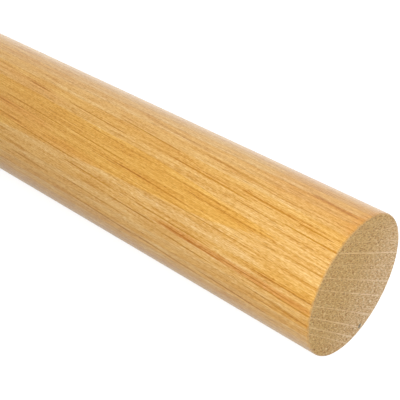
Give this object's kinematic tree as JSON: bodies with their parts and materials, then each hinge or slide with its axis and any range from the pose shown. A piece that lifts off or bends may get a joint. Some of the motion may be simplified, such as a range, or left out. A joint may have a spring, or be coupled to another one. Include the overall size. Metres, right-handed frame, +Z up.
{
  "type": "round wooden stair handrail length",
  "caption": "Straight round oak handrail length with a clear lacquered side and square-sawn bare ends, gripped by hand along a stair and carried on wall brackets.",
  "frame": {"origin": "on the floor under the middle of the rail's length", "axes": "+X along the rail towards the end that the picture shows, +Z up, the rail lying on Z = 0"},
  "size_m": [1, 0.042, 0.0418],
  "materials": {
    "lacquered_oak": "clear semi-gloss lacquer on the round side, bare sawn end grain"
  },
  "bodies": {
    "root": {"handrail": "lacquered_oak"}
  },
  "joints": []
}
